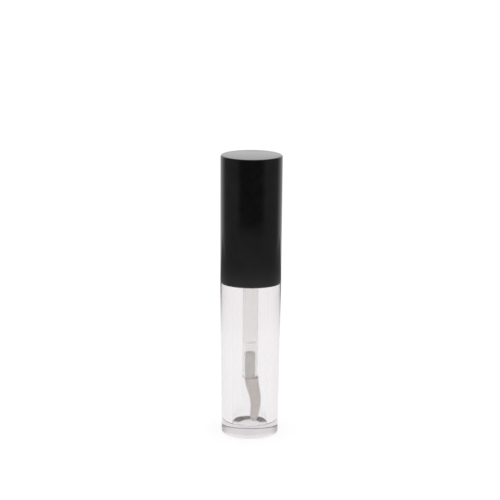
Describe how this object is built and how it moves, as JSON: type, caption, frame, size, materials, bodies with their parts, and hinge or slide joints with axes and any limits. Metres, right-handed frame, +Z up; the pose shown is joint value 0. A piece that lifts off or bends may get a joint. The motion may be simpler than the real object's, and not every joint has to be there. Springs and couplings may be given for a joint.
{
  "type": "lip gloss tube",
  "caption": "Round clear tube with a thick wall and base, a wiper in its neck, and a black screw cap that carries a doe-foot wand.",
  "frame": {"origin": "centre of the bottle's flat foot", "axes": "+Z up along the tube's axis towards the cap; +X towards the side that the doe-foot tip swings out to"},
  "size_m": [0.017, 0.017, 0.0785],
  "materials": {
    "clear_plastic": "clear, polished, moulded PETG",
    "soft_white_plastic": "soft natural LDPE",
    "gloss_black_plastic": "gloss black ABS",
    "natural_white_plastic": "natural polypropylene",
    "translucent_plastic": "translucent polypropylene, satin",
    "grey_moulded_plastic": "pale grey moulded elastomer",
    "grey_flock": "short nylon flock fibres, warm grey"
  },
  "bodies": {
    "bottle": {"bottle": "clear_plastic"},
    "wiper": {"wiper": "soft_white_plastic"},
    "cap": {"outer_cap": "gloss_black_plastic", "inner_cap": "natural_white_plastic", "stem": "translucent_plastic", "applicator_core": "grey_moulded_plastic", "flock_coat": "grey_flock"}
  },
  "joints": [
    {"name": "cap_turn", "type": "hinge", "parent": "bottle", "child": "wiper", "pos_m": [0, 0, 0.0432], "axis": [0, 0, 1], "range_deg": [0, 3240]},
    {"name": "wand_lift", "type": "slide", "parent": "wiper", "child": "cap", "axis": [0, 0, 1], "range_m": [0, 0.054], "deforming": ["wiper"]}
  ],
  "couplings": [
    {"joint": "wand_lift", "follows": "cap_turn", "m_per_rad": 0.00095493}
  ]
}
